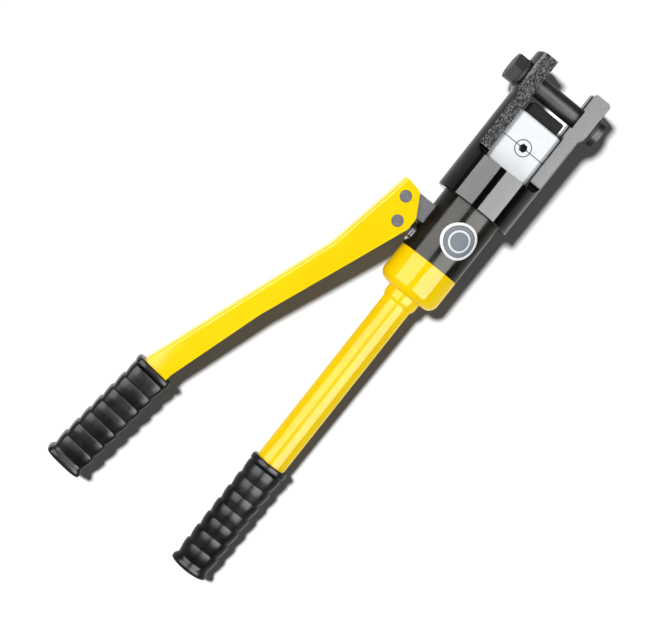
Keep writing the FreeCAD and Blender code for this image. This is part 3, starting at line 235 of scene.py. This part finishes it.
def zinc_plate():
    material, tree = new_material("zinc_plate")
    shader = principled(tree, IOR=1.4)
    grain = object_noise(tree, 500.0, 3.0, (0.15, 1.0, 1.0))
    plated = two_tones(tree, grain, (0.84, 0.89, 0.91), (0.92, 0.94, 0.95), 0.3, 0.7)
    coordinates = add_node(tree, "ShaderNodeTexCoord")
    place = add_node(tree, "ShaderNodeSeparateXYZ")
    tree.links.new(coordinates.outputs["Object"], place.inputs["Vector"])
    flat = add_node(tree, "ShaderNodeCombineXYZ")
    tree.links.new(place.outputs["X"], flat.inputs["X"])
    tree.links.new(place.outputs["Y"], flat.inputs["Y"])
    reach = add_node(tree, "ShaderNodeVectorMath", operation="LENGTH")
    tree.links.new(flat.outputs["Vector"], reach.inputs[0])
    # painted shade: the plating turns dark teal in the ring groove, along the split line and on the nest
    # walls
    past_ring = maths(tree, "SUBTRACT", reach.outputs["Value"], DIE_PAINTED_SHADE["ring_radius"] * MM)
    from_ring = maths(tree, "ABSOLUTE", past_ring, 0.0)
    ring_shade = spread(tree, from_ring, 1.0, 0.0, DIE_PAINTED_SHADE["line_half"] * MM, DIE_PAINTED_SHADE["ring_fade"] * MM)
    from_split = maths(tree, "ABSOLUTE", place.outputs["Y"], 0.0)
    split_shade = spread(tree, from_split, 1.0, 0.0, DIE_PAINTED_SHADE["line_half"] * MM, DIE_PAINTED_SHADE["split_fade"] * MM)
    facing = add_node(tree, "ShaderNodeSeparateXYZ")
    tree.links.new(coordinates.outputs["Normal"], facing.inputs["Vector"])
    near_nest = spread(tree, reach.outputs["Value"], 1.0, 0.0, DIE_PAINTED_SHADE["nest_inside"] * MM,
                       DIE_PAINTED_SHADE["nest_edge"] * MM)
    on_walls = spread(tree, maths(tree, "ABSOLUTE", facing.outputs["Z"], 0.0), 1.0, 0.0, 0.5, 0.8)
    nest_shade = maths(tree, "MULTIPLY", near_nest, on_walls)
    painted_shade = maths(tree, "MAXIMUM", maths(tree, "MAXIMUM", ring_shade, split_shade), nest_shade)
    plating_with_painted_shade = blended(tree, painted_shade, plated, DIE_PAINTED_SHADE["tone"], "RGBA")
    tree.links.new(plating_with_painted_shade, shader.inputs["Base Color"])
    tree.links.new(spread(tree, object_noise(tree, 90.0), 0.3, 0.42), shader.inputs["Roughness"])
    bumped(tree, shader, grain, 0.15, 0.00005)
    return material


def black_rubber():
    material, tree = new_material("grip_rubber")
    shader = principled(tree, IOR=1.18)
    dust = object_noise(tree, 70.0, 4.0)
    tree.links.new(two_tones(tree, dust, (0.004, 0.004, 0.0045), (0.009, 0.009, 0.0095)),
                   shader.inputs["Base Color"])
    tree.links.new(spread(tree, dust, 0.23, 0.31), shader.inputs["Roughness"])
    bumped(tree, shader, object_noise(tree, 1600.0, 3.0), 0.3, 0.0001)
    return material


def soft_plain(name, first, second, low, high, gloss=1.2):
    material, tree = new_material(name)
    shader = principled(tree, IOR=gloss)
    clouds = object_noise(tree, 120.0, 4.0)
    tree.links.new(two_tones(tree, clouds, first, second), shader.inputs["Base Color"])
    tree.links.new(spread(tree, clouds, low, high), shader.inputs["Roughness"])
    bumped(tree, shader, object_noise(tree, 1500.0, 2.0), 0.2, 0.0001)
    return material


def badge_print():
    material, tree = new_material("badge_print")
    shader = principled(tree, Roughness=0.35, IOR=1.3)
    coordinates = add_node(tree, "ShaderNodeTexCoord")
    centred = add_node(tree, "ShaderNodeMapping", vector_type="TEXTURE")
    turn = math.radians(BADGE["turn"])
    centred.inputs["Location"].default_value = (BADGE["out"] * math.sin(turn) * MM, BADGE["y"] * MM,
                                                BADGE["out"] * math.cos(turn) * MM)
    centred.inputs["Rotation"].default_value = (0.0, turn, 0.0)
    tree.links.new(coordinates.outputs["Object"], centred.inputs["Vector"])
    flat = add_node(tree, "ShaderNodeVectorMath", operation="MULTIPLY")
    flat.inputs[1].default_value = (1.0, 1.0, 0.0)
    tree.links.new(centred.outputs["Vector"], flat.inputs[0])
    length = add_node(tree, "ShaderNodeVectorMath", operation="LENGTH")
    tree.links.new(flat.outputs["Vector"], length.inputs[0])
    share = spread(tree, length.outputs["Value"], 0.0, 1.0, 0.0, BADGE["radius"] * MM)
    rings = add_node(tree, "ShaderNodeValToRGB")
    rings.color_ramp.interpolation = "CONSTANT"
    stops = rings.color_ramp.elements
    stops[0].position = 0.0
    stops[0].color = (*BADGE["grey"], 1.0)
    stops[1].position = 0.50
    stops[1].color = (*BADGE["white"], 1.0)
    for position, tone in ((0.60, "grey"), (0.815, "edge"), (0.85, "rim")):
        stop = stops.new(position)
        stop.color = (*BADGE[tone], 1.0)
    tree.links.new(share, rings.inputs["Fac"])
    tree.links.new(rings.outputs["Color"], shader.inputs["Base Color"])
    bumped(tree, shader, object_noise(tree, 900.0, 2.0), 0.1, 0.0001)
    return material


FINISHES = {
    "yellow_paint": yellow_paint("yellow_paint", (1.0, 0.65, 0.001), (1.0, 0.70, 0.002)),
    "forged_black": forged_black(),
    "black_oxide": satin_black(),
    "zinc_die": zinc_plate(),
    "grey_steel": ground_steel("grey_steel", (0.11, 0.11, 0.12), (0.17, 0.17, 0.18), 0.45, 0.6, metal=0.15),
    "bright_steel": ground_steel("bright_steel", (0.6, 0.6, 0.63), (0.8, 0.8, 0.83), 0.15, 0.25),
    "spring_steel": ground_steel("spring_steel", (0.35, 0.35, 0.37), (0.5, 0.5, 0.53), 0.25, 0.35),
    "bronze": ground_steel("bronze", (0.5, 0.30, 0.12), (0.62, 0.40, 0.18), 0.3, 0.4),
    "grip_rubber": black_rubber(),
    "seal_rubber": soft_plain("seal_rubber", (0.01, 0.01, 0.01), (0.02, 0.02, 0.02), 0.5, 0.7),
    "seal_plastic": soft_plain("seal_plastic", (0.7, 0.7, 0.68), (0.8, 0.8, 0.78), 0.4, 0.5),
    "badge_print": badge_print(),
}
SLOT_OF = {row["node"]: row["material_slot"] for row in frame["record"]["subparts"]}
BODY_OF = {node: body for body, nodes in frame["record"]["behaviour"]["bodies"].items() for node in nodes}


def paint(obj, material):
    obj.data.materials.clear()
    obj.data.materials.append(material)


for node, obj in frame["nodes"].items():
    for slot in obj.material_slots:
        slot.material = FINISHES[SLOT_OF[node]]


# pieces that stand for CAD nodes

def finish_piece(obj, body, slot, *nodes):
    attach(obj, body)
    if nodes:
        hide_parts(*nodes)
    return obj


def mesh_object(name, mesh):
    obj = bpy.data.objects.new(name, mesh)
    bpy.context.scene.collection.objects.link(obj)
    return obj


WELD = 0.02
FLAT_ANGLE = 0.6
SHARP_ANGLE = 32.0
EASE_SEGMENTS = 3


def eased_copy(node, width):
    name = node + "_piece"
    mesh = frame["nodes"][node].data.copy()
    mesh.name = name
    work = bmesh.new()
    work.from_mesh(mesh)
    bmesh.ops.remove_doubles(work, verts=work.verts, dist=WELD * MM)
    bmesh.ops.dissolve_limit(work, angle_limit=math.radians(FLAT_ANGLE), verts=work.verts, edges=work.edges)
    work.to_mesh(mesh)
    work.free()
    if mesh.has_custom_normals:
        mesh.normals_split_custom_set([(0, 0, 0)] * len(mesh.loops))
    mesh.shade_smooth()
    mesh.set_sharp_from_angle(angle=math.radians(SHARP_ANGLE))
    obj = mesh_object(name, mesh)
    bevel = obj.modifiers.new("eased_edges", "BEVEL")
    bevel.width = width * MM
    bevel.segments = EASE_SEGMENTS
    bevel.limit_method = "ANGLE"
    bevel.angle_limit = math.radians(SHARP_ANGLE)
    bevel.harden_normals = True
    bevel.use_clamp_overlap = True
    paint(obj, FINISHES[SLOT_OF[node]])
    return finish_piece(obj, BODY_OF[node], SLOT_OF[node], node)


# ribbed grips and the tube, turned from rings

AROUND = 96
RING_WELD = 0.004
ROW_CROWDING = 1.5
GRIP_RIBS = 7
RIB_ROWS = 18
MOUTH_EASE = 0.4
# shares of a rib's, bead's or foot's length, each with the share of its height there
RIB_SWELL = ((0.05, 0.70), (0.13, 0.97), (0.22, 1.0), (0.45, 0.90), (0.72, 0.52))
BEAD_SHAPE = ((0.0, 0.3), (0.08, 0.72), (0.25, 0.96), (0.5, 1.0), (0.75, 0.94), (0.9, 0.66),
              (0.97, 0.2), (1.0, 0.0))
FOOT_SHAPE = ((0.0, 0.0), (0.12, 0.12), (0.24, 0.5), (0.34, 0.86), (0.44, 1.0), (0.60, 1.0), (0.68, 0.92))
# shares of the end's half width, each with the share of its rise there
DOME_SHAPE = ((0.975, 0.14), (0.93, 0.24), (0.86, 0.36), (0.76, 0.5), (0.62, 0.66), (0.46, 0.80),
              (0.28, 0.92), (0.12, 0.985), (0.0, 1.0))
GRIPS = {
    "fixed_grip": {"length": 110.4, "bead": 6.4, "foot": 10.0, "half": (15.9, 15.9), "roundness": 1.0,
                   "valley": 1.4, "flange": 0.7, "bore": (13.05, 13.05, 1.0), "bore_depth": 104.05,
                   "turn": 0.0, "place": (0.0, -322.0, 0.0)},
    "handle_grip": {"length": 107.2, "bead": 6.4, "foot": 10.0, "half": (15.9, 14.8), "roundness": 0.43,
                    "valley": 1.3, "flange": 0.9, "bore": (11.0, 11.8, 0.25), "bore_depth": 84.0,
                    "turn": -6.8, "place": (-119.72, -318.0, 0.0)},
}
TUBE = {"start": 142.7, "end": 424.0, "radius": 13.0, "bore": 10.5, "ease": 0.2}


def grip_rib_tree():
    tree = bpy.data.node_groups.new("grip_ribs", "GeometryNodeTree")
    wanted = (("Geometry", "NodeSocketGeometry"), ("Ribs", "NodeSocketInt"), ("Pitch", "NodeSocketFloat"),
              ("Half Width", "NodeSocketFloat"), ("Half Depth", "NodeSocketFloat"),
              ("Roundness", "NodeSocketFloat"), ("Valley Depth", "NodeSocketFloat"))
    for name, kind in wanted:
        tree.interface.new_socket(name, in_out="INPUT", socket_type=kind)
    tree.interface.new_socket("Geometry", in_out="OUTPUT", socket_type="NodeSocketGeometry")
    sizes = add_node(tree, "NodeGroupInput").outputs
    grid = add_node(tree, "GeometryNodeMeshGrid")
    lattice = {"Size X": 1.0, "Size Y": 1.0, "Vertices X": AROUND + 1, "Vertices Y": RIB_ROWS}
    for name, value in lattice.items():
        grid.inputs[name].default_value = value
    place = add_node(tree, "ShaderNodeSeparateXYZ")
    tree.links.new(add_node(tree, "GeometryNodeInputPosition").outputs["Position"], place.inputs["Vector"])
    turn = maths(tree, "MULTIPLY", maths(tree, "ADD", place.outputs["X"], 0.5), math.tau)
    down = maths(tree, "POWER", maths(tree, "SUBTRACT", 0.5, place.outputs["Y"]), ROW_CROWDING)
    swell = add_node(tree, "ShaderNodeFloatCurve")
    curve = swell.mapping.curves[0]
    curve.points[0].location = (0.0, 0.0)
    curve.points[1].location = (1.0, 0.0)
    for share, height in RIB_SWELL:
        curve.points.new(share, height)
    swell.mapping.update()
    tree.links.new(down, swell.inputs["Value"])
    hollow = maths(tree, "SUBTRACT", 1.0, swell.outputs["Value"])
    sink = maths(tree, "MULTIPLY", hollow, sizes["Valley Depth"])
    sides = []
    for half, wave in (("Half Width", "COSINE"), ("Half Depth", "SINE")):
        signed = maths(tree, wave, turn, 0.0)
        bent = maths(tree, "POWER", maths(tree, "ABSOLUTE", signed, 0.0), sizes["Roundness"])
        reach = maths(tree, "SUBTRACT", sizes[half], sink)
        sided = maths(tree, "MULTIPLY", bent, maths(tree, "SIGN", signed, 0.0))
        sides.append(maths(tree, "MULTIPLY", sided, reach))
    point = add_node(tree, "ShaderNodeCombineXYZ")
    tree.links.new(sides[0], point.inputs["X"])
    tree.links.new(sides[1], point.inputs["Z"])
    along = maths(tree, "MULTIPLY", maths(tree, "MULTIPLY", down, -1.0), sizes["Pitch"])
    tree.links.new(along, point.inputs["Y"])
    shaped = add_node(tree, "GeometryNodeSetPosition")
    tree.links.new(grid.outputs["Mesh"], shaped.inputs["Geometry"])
    tree.links.new(point.outputs["Vector"], shaped.inputs["Position"])
    step = add_node(tree, "ShaderNodeCombineXYZ")
    tree.links.new(maths(tree, "MULTIPLY", sizes["Pitch"], -1.0), step.inputs["Y"])
    row = add_node(tree, "GeometryNodeMeshLine")
    tree.links.new(sizes["Ribs"], row.inputs["Count"])
    tree.links.new(step.outputs["Vector"], row.inputs["Offset"])
    spread_out = add_node(tree, "GeometryNodeInstanceOnPoints")
    tree.links.new(row.outputs["Mesh"], spread_out.inputs["Points"])
    tree.links.new(shaped.outputs["Geometry"], spread_out.inputs["Instance"])
    real = add_node(tree, "GeometryNodeRealizeInstances")
    tree.links.new(spread_out.outputs["Instances"], real.inputs["Geometry"])
    coat = add_node(tree, "GeometryNodeSetMaterial")
    coat.inputs["Material"].default_value = FINISHES["grip_rubber"]
    tree.links.new(real.outputs["Geometry"], coat.inputs["Geometry"])
    tree.links.new(coat.outputs["Geometry"], add_node(tree, "NodeGroupOutput").inputs["Geometry"])
    return tree


def rib_mesh(tree, sizes):
    carrier = mesh_object("rib_carrier", bpy.data.meshes.new("rib_carrier"))
    modifier = carrier.modifiers.new("ribs", "NODES")
    modifier.node_group = tree
    for socket in tree.interface.items_tree:
        if socket.in_out == "INPUT" and socket.name in sizes:
            modifier[socket.identifier] = sizes[socket.name]
    graph = bpy.context.evaluated_depsgraph_get()
    graph.update()
    ribs = bpy.data.meshes.new_from_object(carrier.evaluated_get(graph))
    carrier.modifiers.clear()
    bpy.data.objects.remove(carrier)
    return ribs


def ring(work, along, half_x, half_z, roundness):
    verts = []
    for step in range(AROUND):
        angle = math.tau * step / AROUND
        across, deep = math.cos(angle), math.sin(angle)
        verts.append(work.verts.new((math.copysign(abs(across) ** roundness, across) * half_x * MM,
                                     -along * MM,
                                     math.copysign(abs(deep) ** roundness, deep) * half_z * MM)))
    return verts


def skin(work, stations):
    rings = [ring(work, *station) for station in stations]
    for first, second in zip(rings, rings[1:]):
        for i in range(AROUND):
            j = (i + 1) % AROUND
            work.faces.new((first[i], first[j], second[j], second[i]))


def finished_rings(work, name, turn, place, angle):
    bmesh.ops.remove_doubles(work, verts=work.verts, dist=RING_WELD * MM)
    bmesh.ops.recalc_face_normals(work, faces=work.faces)
    seat = Matrix.Translation(Vector(place) * MM) @ Matrix.Rotation(math.radians(turn), 4, "Z")
    bmesh.ops.transform(work, matrix=seat, verts=work.verts)
    mesh = bpy.data.meshes.new(name)
    work.to_mesh(mesh)
    work.free()
    mesh.shade_smooth()
    mesh.set_sharp_from_angle(angle=math.radians(angle))
    return mesh_object(name, mesh)


def ribbed_grip(node):
    grip = GRIPS[node]
    foot = grip["length"] - grip["foot"]
    pitch = (foot - grip["bead"]) / GRIP_RIBS
    work = bmesh.new()
    work.from_mesh(rib_mesh(RIB_TREE, {
        "Ribs": GRIP_RIBS, "Pitch": pitch * MM, "Half Width": grip["half"][0] * MM,
        "Half Depth": grip["half"][1] * MM, "Roundness": grip["roundness"],
        "Valley Depth": grip["valley"] * MM}))
    bmesh.ops.translate(work, verts=work.verts, vec=(0.0, -grip["bead"] * MM, 0.0))
    wide, deep = grip["half"]

    def outer(along, grow):
        return (along, wide + grow, deep + grow, grip["roundness"])

    def inner(along):
        return (along, *grip["bore"])

    def between(grow):
        return grow * grip["flange"] - (1.0 - grow) * grip["valley"]

    across, through, roundness = grip["bore"]
    mouth = [inner(grip["bore_depth"]), inner(MOUTH_EASE),
             (0.0, across + MOUTH_EASE, through + MOUTH_EASE, roundness)]
    for share, grow in BEAD_SHAPE:
        mouth.append(outer(share * grip["bead"], between(grow)))
    skin(work, mouth)
    tail = []
    for share, grow in FOOT_SHAPE:
        tail.append(outer(foot + share * grip["foot"], between(grow)))
    rim = tail[-1]
    for share, rise in DOME_SHAPE:
        tail.append((rim[0] + (grip["length"] - rim[0]) * rise, rim[1] * share, rim[2] * share, rim[3]))
    skin(work, tail)
    skin(work, [inner(grip["bore_depth"]), (grip["bore_depth"], 0.0, 0.0, 1.0)])
    obj = finished_rings(work, node + "_piece", grip["turn"], grip["place"], 55.0)
    paint(obj, FINISHES["grip_rubber"])
    return finish_piece(obj, BODY_OF[node], "grip_rubber", node)


def turned_tube():
    start, end, radius, bore, ease = (TUBE[key] for key in ("start", "end", "radius", "bore", "ease"))
    outline = ((start, bore), (start, radius - ease), (start + ease, radius), (end - ease, radius),
               (end, radius - ease), (end, bore), (start, bore))
    work = bmesh.new()
    skin(work, [(along, reach, reach, 1.0) for along, reach in outline])
    obj = finished_rings(work, "reservoir_tube_piece", 0.0, (0.0, 0.0, 0.0), 40.0)
    paint(obj, FINISHES["yellow_paint"])
    return finish_piece(obj, BODY_OF["reservoir_tube"], "yellow_paint", "reservoir_tube")


RIB_TREE = grip_rib_tree()
for node in GRIPS:
    ribbed_grip(node)
turned_tube()

# visible solids and how wide each one's edges are eased, in mm
EASED = {
    "head_frame": 0.7, "upper_die": 0.3, "lower_die": 0.3, "upper_die_seat": 0.3, "cross_pin": 0.4,
    "pin_nut": 0.3, "pin_washers": 0.3, "cylinder_body": 0.4, "base_cap": 0.3,
    "pivot_lug": 0.4, "pump_handle": 0.5, "pump_gland": 0.3, "pump_plunger": 0.3, "pivot_pin": 0.3,
    "plunger_pin": 0.3, "release_screw": 0.15,
}
for node, width in EASED.items():
    eased_copy(node, width)
paint(bpy.data.objects["pump_handle_piece"],
      yellow_paint("lever_yellow", (1.0, 0.70, 0.004), (1.0, 0.76, 0.010)))
dark_steel = ground_steel("dark_steel", (0.028, 0.028, 0.03), (0.05, 0.05, 0.054), 0.4, 0.55, 0.1)
matte_black = soft_plain("matte_black", (0.018, 0.018, 0.018), (0.026, 0.026, 0.026), 0.6, 0.75)
pin_black = soft_plain("pin_black", (0.008, 0.007, 0.006), (0.015, 0.013, 0.012), 0.34, 0.42, 1.2)
for name in ("pin_nut_piece", "pin_washers_piece"):
    paint(bpy.data.objects[name], dark_steel)
paint(bpy.data.objects["cross_pin_piece"], pin_black)
paint(bpy.data.objects["upper_die_seat_piece"], matte_black)


# the return spring, given its own mesh and attached to the ram group; nothing here shortens it as the ram
# goes down

SPRING_WELD = 0.01


def squashed_spring():
    work = bmesh.new()
    work.from_mesh(frame["nodes"]["return_spring"].data)
    bmesh.ops.remove_doubles(work, verts=work.verts, dist=SPRING_WELD * MM)
    obj = finished_rings(work, "return_spring_piece", 0.0, (0.0, 0.0, 0.0), 50.0)
    paint(obj, FINISHES["spring_steel"])
    finish_piece(obj, "ram_group", "spring_steel", "return_spring")
    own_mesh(obj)


squashed_spring()


# floor, lamps and camera

# the floor runs just under the head's collar and the fixed grip's end, in metres
FLOOR = {"near": (0.0, -0.0614, -0.0343), "far": (0.0, -0.405, -0.0169), "middle": 0.15, "reach": 6.0,
         "tone": 0.15, "glow": 0.048}
WORLD = {"below": 0.4, "above": 0.04, "start": 0.06, "end": 0.3}
# turn about the tool's axis in degrees, then metres; a strip shows only as a reflection
SOFTBOXES = {
    "left_fill": {"turn": -49.0, "distance": 1.0, "across": 1.02, "along": 1.7, "radiance": 1.5,
                  "centre": -0.18, "strip": False},
    "right_fill": {"turn": 24.0, "distance": 1.0, "across": 0.89, "along": 1.7, "radiance": 1.5,
                   "centre": -0.18, "strip": False},
    "left_strip": {"turn": -45.0, "distance": 0.5, "across": 0.53, "along": 0.88, "radiance": 17.5,
                   "centre": -0.08, "strip": True},
    "right_strip": {"turn": 30.6, "distance": 0.5, "across": 0.54, "along": 0.88, "radiance": 26.0,
                    "centre": -0.08, "strip": True},
    "left_metal_strip": {"turn": -45.0, "distance": 0.5, "across": 0.53, "along": 1.05, "radiance": 1.6,
                         "centre": -0.18, "strip": True},
    "right_metal_strip": {"turn": 30.6, "distance": 0.5, "across": 0.52, "along": 1.05, "radiance": 1.6,
                          "centre": -0.18, "strip": True},
}
SHADOW_LAMP = {"energy": 23.8, "spread": 7.0, "toward": (-0.42, 0.05, 0.90)}
CAMERA = {
    "place": (-0.2365, -0.1611, 1.4753),
    "target": (-0.0309, -0.2004, 0.0),
    "lean": 38.49,
    "field": 20.36,
}


def make_floor():
    near = Vector(FLOOR["near"])
    run = (Vector(FLOOR["far"]) - near).normalized()
    side = Vector((1.0, 0.0, 0.0))
    up = run.cross(side) if run.cross(side).z > 0 else side.cross(run)
    centre = near + run * FLOOR["middle"]
    reach = FLOOR["reach"]
    signs = ((-1, -1), (1, -1), (1, 1), (-1, 1))
    corners = [centre + run * (reach * a) + side * (reach * b) for a, b in signs]
    mesh = bpy.data.meshes.new("floor")
    mesh.from_pydata([tuple(c) for c in corners], [], [(0, 1, 2, 3)])
    floor = mesh_object("floor", mesh)
    if mesh.polygons[0].normal.dot(up) < 0:
        mesh.flip_normals()
    material, tree = new_material("white_floor")
    output = add_node(tree, "ShaderNodeOutputMaterial")
    diffuse = add_node(tree, "ShaderNodeBsdfDiffuse")
    diffuse.inputs["Color"].default_value = (*[FLOOR["tone"]] * 3, 1.0)
    glow = add_node(tree, "ShaderNodeEmission")
    glow.inputs["Color"].default_value = (1.0, 1.0, 1.0, 1.0)
    glow.inputs["Strength"].default_value = FLOOR["glow"]
    both = add_node(tree, "ShaderNodeAddShader")
    tree.links.new(diffuse.outputs["BSDF"], both.inputs[0])
    tree.links.new(glow.outputs["Emission"], both.inputs[1])
    tree.links.new(both.outputs["Shader"], output.inputs["Surface"])
    paint(floor, material)
    floor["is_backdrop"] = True
    return floor


def make_world():
    world = bpy.data.worlds.new("studio")
    bpy.context.scene.world = world
    world.use_nodes = True
    tree = world.node_tree
    tree.nodes.clear()
    coordinates = add_node(tree, "ShaderNodeTexCoord")
    parts = add_node(tree, "ShaderNodeSeparateXYZ")
    tree.links.new(coordinates.outputs["Generated"], parts.inputs["Vector"])
    height = spread(tree, parts.outputs["Z"], WORLD["below"], WORLD["above"], WORLD["start"], WORLD["end"])
    background = add_node(tree, "ShaderNodeBackground")
    tree.links.new(height, background.inputs["Color"])
    background.inputs["Strength"].default_value = 1.0
    output = add_node(tree, "ShaderNodeOutputWorld")
    tree.links.new(background.outputs["Background"], output.inputs["Surface"])


def softbox(name, receivers):
    box = SOFTBOXES[name]
    lamp = bpy.data.lights.new(name, "AREA")
    lamp.shape = "RECTANGLE"
    lamp.size = box["across"]
    lamp.size_y = box["along"]
    lamp.energy = 4.0 * box["across"] * box["along"] * box["radiance"]
    obj = bpy.data.objects.new(name, lamp)
    bpy.context.scene.collection.objects.link(obj)
    angle = math.radians(box["turn"])
    distance = box["distance"]
    place = Vector((math.sin(angle) * distance, box["centre"], math.cos(angle) * distance))
    obj.matrix_world = Matrix.Translation(place) @ Matrix.Rotation(angle, 4, "Y")
    obj.visible_camera = False
    obj.visible_diffuse = not box["strip"]
    obj.visible_glossy = box["strip"]
    obj.light_linking.receiver_collection = receivers
    return obj


def shadow_lamp(receivers, blockers):
    lamp = bpy.data.lights.new("shadow_lamp", "SUN")
    lamp.energy = SHADOW_LAMP["energy"]
    lamp.angle = math.radians(SHADOW_LAMP["spread"])
    obj = bpy.data.objects.new("shadow_lamp", lamp)
    bpy.context.scene.collection.objects.link(obj)
    toward = Vector(SHADOW_LAMP["toward"]).normalized()
    obj.rotation_mode = "QUATERNION"
    obj.rotation_quaternion = toward.to_track_quat("Z", "Y")
    obj.light_linking.receiver_collection = receivers
    obj.light_linking.blocker_collection = blockers
    return obj


def make_camera():
    lens = bpy.data.cameras.new("camera")
    lens.sensor_fit = "HORIZONTAL"
    lens.sensor_width = 36.0
    lens.lens = 18.0 / math.tan(math.radians(CAMERA["field"] / 2))
    lens.clip_start = 0.05
    lens.clip_end = 50.0
    camera = bpy.data.objects.new("camera", lens)
    bpy.context.scene.collection.objects.link(camera)
    place = Vector(CAMERA["place"])
    target = Vector(CAMERA["target"])
    back = (place - target).normalized()
    lean = math.radians(CAMERA["lean"])
    up = Vector((-math.sin(lean), math.cos(lean), 0.0))
    right = up.cross(back).normalized()
    up = back.cross(right).normalized()
    turn = Matrix((right, up, back)).transposed().to_4x4()
    camera.matrix_world = Matrix.Translation(place) @ turn
    bpy.context.scene.camera = camera


tool_lit = bpy.data.collections.new("lit_by_softboxes")
painted_left = bpy.data.collections.new("lit_by_left_strip")
painted_right = bpy.data.collections.new("lit_by_right_strip")
bare_metal = bpy.data.collections.new("lit_by_metal_strips")
floor_lit = bpy.data.collections.new("lit_by_shadow_lamp")
casting = bpy.data.collections.new("casts_the_shadow")
floor = make_floor()
floor_lit.objects.link(floor)
make_world()
receivers = {"left_fill": tool_lit, "right_fill": tool_lit, "left_strip": painted_left,
             "right_strip": painted_right, "left_metal_strip": bare_metal, "right_metal_strip": bare_metal}
for name, collection in receivers.items():
    softbox(name, collection)
shadow_lamp(floor_lit, casting)
make_camera()

METALS = {"zinc_die", "grey_steel", "bright_steel", "spring_steel", "bronze", "badge_print", "seal_plastic"}
SOFTLY_LIT = ("upper_die_seat", "pin_nut", "pin_washers")
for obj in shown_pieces():
    tool_lit.objects.link(obj)
    # the cross pin casts no shadow, so the floor stays white in the gap beside it
    if obj.name not in ("cross_pin", "cross_pin_piece"):
        casting.objects.link(obj)
    node = obj.name.removesuffix("_piece")
    if SLOT_OF.get(node) in METALS or node in SOFTLY_LIT:
        bare_metal.objects.link(obj)
        continue
    painted_left.objects.link(obj)
    if node != "pump_handle":
        painted_right.objects.link(obj)

bpy.context.scene.view_settings.view_transform = "Standard"
